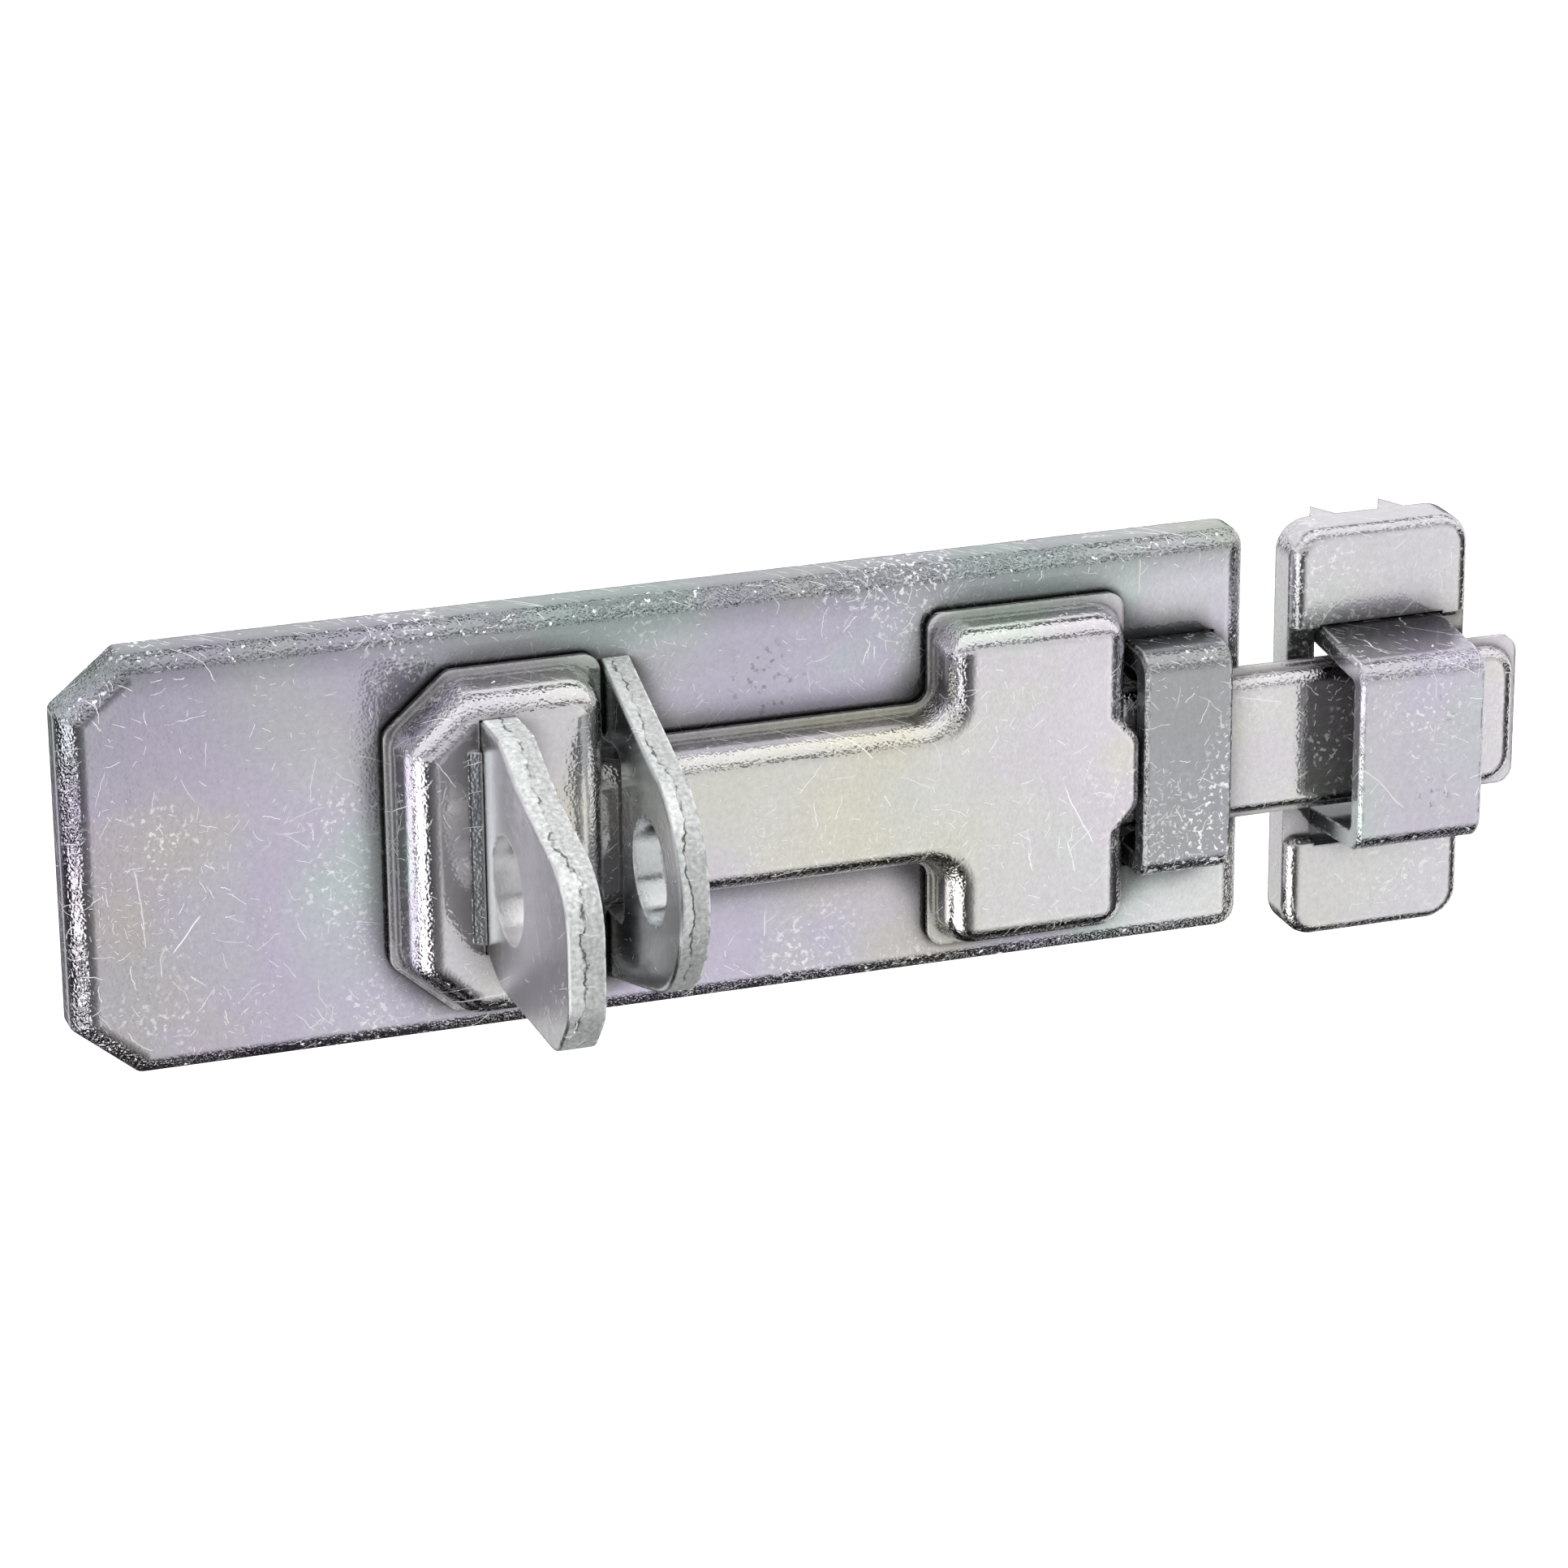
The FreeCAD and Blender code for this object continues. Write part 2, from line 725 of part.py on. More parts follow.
# Bolt lug: the long plate lug through the head, with the second padlock hole; it is also the handle.
bolt_lug = new_body("bolt_lug")
handle_sketch = new_sketch(bolt_lug, "handle_sketch", "YZ_Plane", size.bolt_lug_left)
nose = size.bolt_lug_nose
handle_places = [
    (size.bolt_lug_root, size.slot_bottom),
    (size.lug_waist_level, size.slot_bottom),
    (size.lug_hip_level, -size.lug_hip_drop),
    (nose - size.lug_chin_back, -size.lug_chin_drop),
    (nose, -size.lug_lip_drop),
    (nose, size.lug_brow_rise),
    (size.lug_flank_level, size.lug_flank_rise),
    (size.lug_shoulder_level, size.slot_top),
    (size.bolt_lug_root, size.slot_top - size.slot_gap),
]
outline(handle_sketch, profile(handle_places))
circle(handle_sketch, (-size.eye_level, 0), size.eye_radius)
handle_pad = pad(bolt_lug, "handle_pad", handle_sketch, size.bolt_lug_thickness)
handle_tip = fillet(bolt_lug, "handle_tip", handle_pad, size.lug_tip_radius, sideways(*handle_places[3:5]))
handle_brow = fillet(bolt_lug, "handle_brow", handle_tip, size.lug_brow_radius, sideways(handle_places[5]))
flank_edge = sideways(handle_places[6])
handle_flank = fillet(bolt_lug, "handle_flank", handle_brow, size.lug_flank_radius, flank_edge)
handle_hip = fillet(bolt_lug, "handle_hip", handle_flank, size.lug_hip_radius, sideways(handle_places[2]))
fillet(bolt_lug, "handle_roll", handle_hip, size.lug_roll, lug_edge(size.bolt_lug_left))
follow_drop(bolt_lug)

# Keeper plate: a tray with a window between two rails and spikes on its back edge.
keeper_plate = new_body("keeper_plate")
keeper_right = size.keeper_left + size.keeper_width
keeper_half = size.keeper_half
keeper_sketch = new_sketch(keeper_plate, "keeper_sketch", "XZ_Plane")
rectangle(keeper_sketch, size.keeper_left, -keeper_half, keeper_right, keeper_half)
keeper_pad = pad(keeper_plate, "keeper_pad", keeper_sketch, size.keeper_depth)
keeper_places = [(x, z) for x in (size.keeper_left, keeper_right) for z in (-keeper_half, keeper_half)]
keeper_corners = across(*keeper_places)
keeper_round = fillet(keeper_plate, "keeper_round", keeper_pad, size.keeper_corner_radius, keeper_corners)
keeper_front = at_level(size.keeper_depth)
fillet(keeper_plate, "keeper_edge", keeper_round, size.keeper_edge_radius, keeper_front)
keeper_hollow_sketch = new_sketch(keeper_plate, "keeper_hollow_sketch", "XZ_Plane")
inset = size.keeper_sheet
rectangle(
    keeper_hollow_sketch,
    size.keeper_left + inset,
    -keeper_half + size.keeper_end_wall,
    keeper_right - inset,
    keeper_half - size.keeper_end_wall,
)
pocket(keeper_plate, "keeper_hollow", keeper_hollow_sketch, size.keeper_depth - inset)
rail_sketch = new_sketch(keeper_plate, "rail_sketch", "XZ_Plane", size.keeper_depth)
rail_half = size.keeper_rail_half
rectangle(rail_sketch, size.keeper_left - inset, -rail_half, keeper_right + inset, rail_half)
keeper_rails = pocket(keeper_plate, "keeper_rails", rail_sketch, size.keeper_rail_step, into_front=False)
rail_edges = [(size.keeper_depth, rail_half), (size.keeper_depth, -rail_half)]
chamfer(keeper_plate, "keeper_rail_edge", keeper_rails, size.keeper_rail_edge, sideways(*rail_edges))
window_sketch = new_sketch(keeper_plate, "window_sketch", "XZ_Plane")
rectangle(
    window_sketch,
    size.keeper_left + size.keeper_rail,
    -size.keeper_window_half,
    keeper_right - size.keeper_rail,
    size.keeper_window_half,
)
pocket(keeper_plate, "keeper_window", window_sketch)
for sign, side in ((1, "top"), (-1, "bottom")):
    height = keeper_half - size.spike_thickness if sign > 0 else -keeper_half
    spike_sketch = new_sketch(keeper_plate, "spike_sketch_" + side, "XY_Plane", height)
    for number in (0, 1):
        start = size.keeper_left + size.spike_start + size.spike_spacing * number - size.spike_width / 2
        tip = start + size.spike_width / 2
        end = start + size.spike_width
        root = -size.spike_root
        outline(spike_sketch, [(start, root), (end, root), (end, 0), (tip, size.spike_length), (start, 0)])
    pad(keeper_plate, "spikes_" + side, spike_sketch, size.spike_thickness)
follow_drop(keeper_plate, size.keeper_drop)

# Keeper strap: a bent strap with legs that lean in and toes behind the keeper plate.
keeper_strap = new_body("keeper_strap")
strap_left = size.keeper_left + (size.keeper_width - size.strap_width) / 2
strap_sketch = new_sketch(keeper_strap, "strap_sketch", "YZ_Plane", strap_left)
toe_level = size.keeper_depth - size.keeper_sheet
sheet_gauge = size.strap_sheet
strap_half_profile = [
    (size.strap_level, size.strap_front_half),
    (toe_level, size.strap_foot_half),
    (toe_level, size.strap_foot_half + size.strap_toe),
    (toe_level - sheet_gauge, size.strap_foot_half + size.strap_toe),
    (toe_level - sheet_gauge, size.strap_foot_half - sheet_gauge),
    (size.strap_level - sheet_gauge, size.strap_front_half - sheet_gauge),
]
outline(strap_sketch, profile(mirrored(strap_half_profile)))
strap_pad = pad(keeper_strap, "strap_pad", strap_sketch, size.strap_width)
strap_outer = [(size.strap_level, size.strap_front_half), (size.strap_level, -size.strap_front_half)]
strap_bend = fillet(keeper_strap, "strap_bend", strap_pad, size.strap_bend, sideways(*strap_outer))
strap_inner_level = size.strap_level - sheet_gauge
strap_inner_half = size.strap_front_half - sheet_gauge
strap_corner = [(strap_inner_level, strap_inner_half), (strap_inner_level, -strap_inner_half)]
strap_inside = fillet(keeper_strap, "strap_inside", strap_bend, size.inner_bend, sideways(*strap_corner))
strap_edges = strap_edge(size.strap_level, size.strap_front_half)
chamfer(keeper_strap, "strap_edges", strap_inside, size.strap_edge, strap_edges)
follow_drop(keeper_strap)

nodes = [base_plate, fixed_lug, guide_strap, bolt, bolt_lug, keeper_plate, keeper_strap]
doc.recompute()
for item in doc.Objects:
    if "Invalid" in item.State or "Error" in item.State:
        raise RuntimeError("could not work out " + item.Name)
os.makedirs("parts", exist_ok=True)
for node in nodes:
    node.Label = node.Name
    shape = node.Shape
    if shape.isNull() or not shape.isValid():
        raise RuntimeError("no sound solid in " + node.Label)
    if len(shape.Solids) != 1:
        raise RuntimeError("not one solid in " + node.Label)
    shape.exportStep(os.path.join("parts", node.Label + ".step"))
    box = shape.BoundBox
    spans = [box.XMin, box.XMax, box.YMin, box.YMax, box.ZMin, box.ZMax]
    print(node.Label, "box", [round(span, 2) for span in spans], "volume", round(shape.Volume, 1))
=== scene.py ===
# %% [markdown]
# # A pressed steel padbolt
# A padbolt is a door bolt that a padlock keeps shut. The solids come from the imported model, already
# in place and in metres: X runs along the plate to the keeper, Z is up, and the front looks along
# -Y. This file gives them their zinc finish, the studio and the camera. We begin with an empty
# scene, so that nothing of Blender's own start-up file gets into the picture, and a helper reads
# the box of a solid when one is needed.

# %% Load the solids
import json
import math

import bpy
import numpy as np
from mathutils import Matrix, Vector

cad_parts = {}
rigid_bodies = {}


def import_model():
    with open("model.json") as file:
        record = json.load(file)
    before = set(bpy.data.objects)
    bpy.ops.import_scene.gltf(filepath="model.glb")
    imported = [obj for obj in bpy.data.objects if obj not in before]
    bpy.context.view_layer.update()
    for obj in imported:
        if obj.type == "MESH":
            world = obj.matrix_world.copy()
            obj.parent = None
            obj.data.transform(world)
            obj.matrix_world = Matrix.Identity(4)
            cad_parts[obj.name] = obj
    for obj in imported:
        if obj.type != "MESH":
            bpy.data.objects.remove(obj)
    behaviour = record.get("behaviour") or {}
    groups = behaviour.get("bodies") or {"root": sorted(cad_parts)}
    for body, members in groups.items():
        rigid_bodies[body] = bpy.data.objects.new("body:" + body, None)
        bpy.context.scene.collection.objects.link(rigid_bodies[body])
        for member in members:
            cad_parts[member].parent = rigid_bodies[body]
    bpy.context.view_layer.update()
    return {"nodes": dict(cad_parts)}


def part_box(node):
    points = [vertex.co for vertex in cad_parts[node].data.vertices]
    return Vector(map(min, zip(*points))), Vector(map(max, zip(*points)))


for start_object in list(bpy.data.objects):
    bpy.data.objects.remove(start_object)
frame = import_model()
print("solids:", sorted(frame["nodes"]))

# %% [markdown]
# ## The camera
# The photograph was taken with a long lens from the left and a little above. A camera is fully
# described by where it stands, which way is right and which way is up in the picture; the third
# axis follows from the other two. Writing those axes straight into the camera's matrix is exact,
# while a "look at" helper would lose the slight tilt.

# %% Place the camera
MM = 0.001
CAMERA_PLACE = Vector((-183.424, -585.163, 227.419)) * MM
CAMERA_RIGHT = Vector((0.94602, -0.32400, -0.00803)).normalized()
CAMERA_UP = Vector((0.11965, 0.32612, 0.93772)).normalized()
FOCAL_IN_FRAMES = 7000 / 1932

camera_data = bpy.data.cameras.new("camera")
camera_data.sensor_width = 36.0
camera_data.lens = FOCAL_IN_FRAMES * camera_data.sensor_width
camera_data.clip_start = 0.01
camera_data.clip_end = 50.0
camera = bpy.data.objects.new("camera", camera_data)
bpy.context.scene.collection.objects.link(camera)
camera_back = CAMERA_RIGHT.cross(CAMERA_UP)
camera_axes = Matrix((CAMERA_RIGHT, CAMERA_UP, camera_back)).transposed().to_4x4()
camera.matrix_world = Matrix.Translation(CAMERA_PLACE) @ camera_axes
bpy.context.scene.camera = camera
print("lens:", round(camera_data.lens, 1), "mm")

# %% [markdown]
# ## Small helpers for node trees
# A material is a graph of nodes. A few helpers keep the graphs readable: `add` makes a node and
# fills its inputs, linking an input when it is given another node's output and setting a plain
# value otherwise; `maths`, `blend` and `band` are the three kinds of node that nearly every effect
# needs.


# %% Node helpers
def feed(tree, socket, value):
    """Link a socket to another node's output, or set its plain value."""
    if isinstance(value, bpy.types.NodeSocket):
        tree.links.new(value, socket)
    else:
        socket.default_value = value


def add(tree, kind, settings=None, **inputs):
    """Add a node: settings are its properties, inputs are values or outputs of other nodes by name."""
    made = tree.nodes.new(kind)
    for name, value in (settings or {}).items():
        setattr(made, name, value)
    for name, value in inputs.items():
        feed(tree, made.inputs[name.replace("_", " ")], value)
    return made


def maths(tree, operation, first, second=0.0, third=0.0, clamp=False):
    """The result of one arithmetic node."""
    made = add(tree, "ShaderNodeMath", {"operation": operation, "use_clamp": clamp})
    for socket, value in zip(made.inputs, (first, second, third)):
        feed(tree, socket, value)
    return made.outputs[0]


def vector_maths(tree, operation, first, second=None):
    """The node of one vector operation."""
    made = add(tree, "ShaderNodeVectorMath", {"operation": operation})
    feed(tree, made.inputs[0], first)
    if second is not None:
        feed(tree, made.inputs[1], second)
    return made


def blend(tree, amount, first, second, mode="MIX"):
    """Two colours blended by an amount."""
    made = add(tree, "ShaderNodeMix", {"data_type": "RGBA", "blend_type": mode})
    for index, value in ((0, amount), (6, first), (7, second)):
        feed(tree, made.inputs[index], value)
    return made.outputs[2]


def band(tree, value, low, high):
    """0 below low, 1 above high, and a smooth rise between them."""
    made = add(tree, "ShaderNodeMapRange", {"interpolation_type": "SMOOTHSTEP"}, Value=value)
    feed(tree, made.inputs["From Min"], low)
    feed(tree, made.inputs["From Max"], high)
    return made.outputs["Result"]


def below(tree, value, low, high):
    """1 below low, 0 above high, and a smooth fall between them."""
    return maths(tree, "SUBTRACT", 1.0, band(tree, value, low, high))


def noise(tree, place, scale, detail=2.0, seed=0.0, **inputs):
    """A cloudy value from 0 to 1 with blobs about 1 / scale metres wide."""
    made = add(tree, "ShaderNodeTexNoise", {"noise_dimensions": "4D"}, Vector=place, Scale=scale, **inputs)
    feed(tree, made.inputs["Detail"], detail)
    feed(tree, made.inputs["W"], seed)
    return made.outputs["Fac"]


def new_group(name, inputs, outputs):
    """An empty shader node group with named sockets: its tree, its inputs and the sockets of its output."""
    tree = bpy.data.node_groups.new(name, "ShaderNodeTree")
    for label, kind, value in inputs:
        socket = tree.interface.new_socket(name=label, in_out="INPUT", socket_type=kind)
        if value is not None:
            socket.default_value = value
    for label, kind in outputs:
        tree.interface.new_socket(name=label, in_out="OUTPUT", socket_type=kind)
    return tree, tree.nodes.new("NodeGroupInput").outputs, tree.nodes.new("NodeGroupOutput").inputs


def group_node(tree, group, **inputs):
    """Place a node group in a material."""
    return add(tree, "ShaderNodeGroup", {"node_tree": group}, **inputs)


FLOAT, COLOUR, VECTOR = "NodeSocketFloat", "NodeSocketColor", "NodeSocketVector"
print("helpers ready")

# %% [markdown]
# ## Clouds in the zinc
# Passivated zinc isn't plain grey. Its thin clear film shows soft patches of lavender, straw and
# green, a centimetre or two across. Two slow noises choose between the tints, and a third, much
# finer one speckles the whole a little lighter and darker.

# %% Zinc clouds group
LAVENDER = (0.92, 0.86, 1.0, 1.0)
STRAW = (1.0, 0.97, 0.84, 1.0)
GREEN = (0.87, 1.0, 0.94, 1.0)
WHITE = (1.0, 1.0, 1.0, 1.0)
SLOW_SCALE, OTHER_SCALE, MOTTLE_SCALE = 55.0, 38.0, 1700.0
OTHER_SEED = 7.3

clouds, given, result = new_group(
    "zinc_clouds",
    [("Vector", VECTOR, None), ("Metal", COLOUR, WHITE), ("Tint", FLOAT, 0.5), ("Seed", FLOAT, 0.0)],
    [("Color", COLOUR)],
)
slow = noise(clouds, given["Vector"], SLOW_SCALE, 3.0, given["Seed"])
other_seed = maths(clouds, "ADD", given["Seed"], OTHER_SEED)
other = noise(clouds, given["Vector"], OTHER_SCALE, 2.0, other_seed)
violet = blend(clouds, band(clouds, slow, 0.34, 0.58), WHITE, LAVENDER)
straw = blend(clouds, band(clouds, other, 0.52, 0.70), violet, STRAW)
film = blend(clouds, below(clouds, other, 0.32, 0.46), straw, GREEN)
filmed = blend(clouds, 1.0, given["Metal"], film, "MULTIPLY")
tinted = blend(clouds, given["Tint"], given["Metal"], filmed)
mottle = noise(clouds, given["Vector"], MOTTLE_SCALE, 4.0, given["Seed"])
speckle = maths(clouds, "MULTIPLY_ADD", mottle, 0.30, 0.71)
shade = maths(clouds, "MULTIPLY_ADD", slow, 0.30, speckle)
feed(clouds, result["Color"], blend(clouds, 1.0, tinted, shade, "MULTIPLY"))
print("group:", clouds.name)

# %% [markdown]
# ## Scratch strokes
# Parts tumble over each other in the plating barrel, so the surface is full of pale strokes in all
# directions. A Voronoi texture scatters points, and each cell knows its point and a random colour.
# The colour chooses an angle, a length and whether the cell has a stroke at all; turning the cell's
# own coordinates by that angle makes a stroke a narrow band along one axis. A noise gathers the
# strokes into busy and quiet areas. The pattern lies on the front plane, skewed a little along the
# depth so that side faces get strokes as well.

# %% Stroke group
DEPTH_SKEW_X, DEPTH_SKEW_Z = 0.9, 0.35
SEED_STEP_X, SEED_STEP_Z = 17.3, 5.9
BUSY_SCALE = 60.0

strokes, given, result = new_group(
    "scratch_strokes",
    [
        ("Vector", VECTOR, None),
        ("Scale", FLOAT, 1000.0),
        ("Length", FLOAT, 0.4),
        ("Width", FLOAT, 0.08),
        ("Bend", FLOAT, 0.5),
        ("Cover", FLOAT, 0.5),
        ("Seed", FLOAT, 0.0),
    ],
    [("Mask", FLOAT)],
)
parts = add(strokes, "ShaderNodeSeparateXYZ", Vector=given["Vector"]).outputs
skewed_x = maths(strokes, "MULTIPLY_ADD", parts["Y"], DEPTH_SKEW_X, parts["X"])
skewed_z = maths(strokes, "MULTIPLY_ADD", parts["Y"], DEPTH_SKEW_Z, parts["Z"])
step_x = maths(strokes, "MULTIPLY", given["Seed"], SEED_STEP_X)
step_z = maths(strokes, "MULTIPLY", given["Seed"], SEED_STEP_Z)
flat_x = maths(strokes, "MULTIPLY_ADD", skewed_x, given["Scale"], step_x)
flat_z = maths(strokes, "MULTIPLY_ADD", skewed_z, given["Scale"], step_z)
flat = add(strokes, "ShaderNodeCombineXYZ", X=flat_x, Y=flat_z).outputs["Vector"]
cells = add(strokes, "ShaderNodeTexVoronoi", {"voronoi_dimensions": "2D"}, Vector=flat, Scale=1.0)
offset = vector_maths(strokes, "SUBTRACT", flat, cells.outputs["Position"]).outputs["Vector"]
away = add(strokes, "ShaderNodeSeparateXYZ", Vector=offset).outputs
dice = add(strokes, "ShaderNodeSeparateColor", Color=cells.outputs["Color"]).outputs
angle = maths(strokes, "MULTIPLY", dice["Red"], 2 * math.pi)
cosine, sine = maths(strokes, "COSINE", angle), maths(strokes, "SINE", angle)
along = maths(strokes, "MULTIPLY_ADD", away["X"], cosine, maths(strokes, "MULTIPLY", away["Y"], sine))
turned_x = maths(strokes, "MULTIPLY", away["X"], sine)
aside = maths(strokes, "SUBTRACT", maths(strokes, "MULTIPLY", away["Y"], cosine), turned_x)
curl = maths(strokes, "MULTIPLY", maths(strokes, "SUBTRACT", dice["Blue"], 0.5), given["Bend"])
unsteady = maths(strokes, "SUBTRACT", noise(strokes, flat, 2.5, 3.0), 0.5)
wander = maths(strokes, "MULTIPLY", unsteady, given["Bend"])
bowed = maths(strokes, "MULTIPLY_ADD", maths(strokes, "MULTIPLY", along, along), curl, aside)
bowed = maths(strokes, "MULTIPLY_ADD", wander, 0.35, bowed)
core = maths(strokes, "MULTIPLY", given["Width"], 0.4)
thin = below(strokes, maths(strokes, "ABSOLUTE", bowed), core, given["Width"])
length_share = maths(strokes, "MULTIPLY_ADD", dice["Blue"], 0.7, 0.3)
reach = maths(strokes, "MULTIPLY", given["Length"], length_share)
ended = below(strokes, maths(strokes, "ABSOLUTE", along), maths(strokes, "MULTIPLY", reach, 0.75), reach)
busy = band(strokes, noise(strokes, given["Vector"], BUSY_SCALE, 4.0, given["Seed"]), 0.49, 0.66)
chance = maths(strokes, "MULTIPLY", given["Cover"], maths(strokes, "MULTIPLY_ADD", busy, 0.93, 0.07))
kept = maths(strokes, "LESS_THAN", dice["Green"], chance)
luck = maths(strokes, "FRACT", maths(strokes, "MULTIPLY", dice["Red"], 7.13))
paleness = maths(strokes, "MULTIPLY_ADD", maths(strokes, "MULTIPLY", luck, luck), 0.45, 0.55)
kept = maths(strokes, "MULTIPLY", kept, paleness)
stroke = maths(strokes, "MULTIPLY", thin, ended)
feed(strokes, result["Mask"], maths(strokes, "MULTIPLY", stroke, kept, clamp=True))
print("group:", strokes.name)

# %% [markdown]
# ## Grain and specks
# Under a light the plating sparkles: it has a fine grain of about a third of a millimetre, and
# where the sheet was drawn over a radius the grain stands up like orange peel. It also has a few
# dark pits where dirt has stayed. Grain goes to the bump, and specks to the colour.

# %% Grain group
FINE_SCALE, PATCH_SCALE, WAVE_SCALE = 3200.0, 90.0, 230.0
PIT_SCALE, DIRTY_SCALE = 520.0, 130.0

grain, given, result = new_group(
    "plating_grain",
    [("Vector", VECTOR, None), ("Bent", FLOAT, 0.0), ("Speck Cover", FLOAT, 0.3), ("Seed", FLOAT, 0.0)],
    [("Height", FLOAT), ("Specks", FLOAT)],
)
fine = noise(grain, given["Vector"], FINE_SCALE, 0.0)
patchy = band(grain, noise(grain, given["Vector"], PATCH_SCALE, 2.0, given["Seed"]), 0.38, 0.60)
drawn = maths(grain, "MULTIPLY", given["Bent"], maths(grain, "MULTIPLY_ADD", patchy, 0.65, 0.35))
wavy = noise(grain, given["Vector"], WAVE_SCALE, 3.0)
peel = maths(grain, "MULTIPLY", fine, maths(grain, "MULTIPLY_ADD", drawn, 1.5, 0.10))
feed(grain, result["Height"], maths(grain, "MULTIPLY_ADD", wavy, 0.5, peel))
pits = add(grain, "ShaderNodeTexVoronoi", Vector=given["Vector"], Scale=PIT_SCALE)
pit = below(grain, pits.outputs["Distance"], 0.08, 0.2)
pit_limit = maths(grain, "MULTIPLY_ADD", given["Speck Cover"], -0.3, 0.78)
dirt = noise(grain, given["Vector"], DIRTY_SCALE, 2.0, given["Seed"])
dirty = band(grain, dirt, pit_limit, maths(grain, "ADD", pit_limit, 0.05))
feed(grain, result["Specks"], maths(grain, "MULTIPLY", pit, dirty))
print("group:", grain.name)

# %% [markdown]
# ## Scuffed spots
# A knock leaves a small nest of dark flecks. They are the peaks of a noise, kept only inside a soft
# round spot, so the place and the size of each nest can be chosen.

# %% Scuff group
scuffs, given, result = new_group(
    "scuffed_spot",
    [("Vector", VECTOR, None), ("Centre", VECTOR, None), ("Radius", FLOAT, 0.004), ("Scale", FLOAT, 900.0)],
    [("Mask", FLOAT)],
)
spread = vector_maths(scuffs, "DISTANCE", given["Vector"], given["Centre"]).outputs["Value"]
inside = below(scuffs, maths(scuffs, "DIVIDE", spread, given["Radius"]), 0.45, 1.0)
flecks = band(scuffs, noise(scuffs, given["Vector"], given["Scale"], 5.0), 0.56, 0.64)
feed(scuffs, result["Mask"], maths(scuffs, "MULTIPLY", inside, flecks, clamp=True))
print("group:", scuffs.name)

# %% [markdown]
# ## Sheared edges
# The two lugs are punched from plate. A punched edge is smooth and bright where the punch went in,
# and torn and rough where the metal broke away, with a ragged line between the two. The group looks
# at how far across the thickness a point lies, with noises to make the line ragged. The bore of the
# padlock eye is smooth, so the output `Outside` tells the outer edge from it.

# %% Sheared edge group
EYE_CENTRE = (0.0, -0.0230, -0.0008)
EYE_RADIUS = 0.00615
LINE_SCALE, JAG_SCALE, GAP_SCALE, TORN_SCALE = 120.0, 1100.0, 420.0, 1900.0
LAND_GREY = (0.86, 0.89, 0.88, 1.0)
TORN_GREY = (0.72, 0.74, 0.73, 1.0)
CRACK_GREY = (0.08, 0.085, 0.08, 1.0)

shear, given, result = new_group(
    "sheared_edge",
    [("Vector", VECTOR, None), ("Left", FLOAT, 0.0), ("Thickness", FLOAT, 0.004), ("Land", FLOAT, 0.42)],
    [("Color", COLOUR), ("Torn", FLOAT), ("Height", FLOAT), ("Outside", FLOAT)],
)
spot = add(shear, "ShaderNodeSeparateXYZ", Vector=given["Vector"]).outputs
in_plane = add(shear, "ShaderNodeCombineXYZ", Y=spot["Y"], Z=spot["Z"]).outputs["Vector"]
from_eye = vector_maths(shear, "DISTANCE", in_plane, EYE_CENTRE).outputs["Value"]
feed(shear, result["Outside"], band(shear, from_eye, EYE_RADIUS * 1.03, EYE_RADIUS * 1.10))
share = maths(shear, "DIVIDE", maths(shear, "SUBTRACT", spot["X"], given["Left"]), given["Thickness"])
wander = maths(shear, "SUBTRACT", noise(shear, given["Vector"], LINE_SCALE, 2.0), 0.5)
jagged = maths(shear, "SUBTRACT", noise(shear, given["Vector"], JAG_SCALE, 5.0), 0.5)
share = maths(shear, "MULTIPLY_ADD", wander, 1.1, maths(shear, "MULTIPLY_ADD", jagged, 0.42, share))
land_end = maths(shear, "SUBTRACT", given["Land"], 0.01)
torn = band(shear, share, land_end, maths(shear, "ADD", given["Land"], 0.04))
from_line = maths(shear, "ABSOLUTE", maths(shear, "SUBTRACT", share, given["Land"]))
gaps = band(shear, noise(shear, given["Vector"], GAP_SCALE, 3.0), 0.42, 0.55)
crack = maths(shear, "MULTIPLY", below(shear, from_line, 0.005, 0.06), gaps)
rough_metal = noise(shear, given["Vector"], TORN_SCALE, 4.0)
plain = blend(shear, torn, LAND_GREY, TORN_GREY)
shaded = blend(shear, 1.0, plain, maths(shear, "MULTIPLY_ADD", rough_metal, 1.3, 0.32), "MULTIPLY")
cracked = blend(shear, maths(shear, "MULTIPLY", crack, 0.85), shaded, CRACK_GREY)
feed(shear, result["Color"], cracked)
feed(shear, result["Torn"], torn)
tear = maths(shear, "MULTIPLY", torn, maths(shear, "MULTIPLY_ADD", rough_metal, 1.2, 0.4))
raised = maths(shear, "MULTIPLY", rough_metal, 0.25)
feed(shear, result["Height"], maths(shear, "SUBTRACT", raised, maths(shear, "ADD", tear, crack)))
print("group:", shear.name)
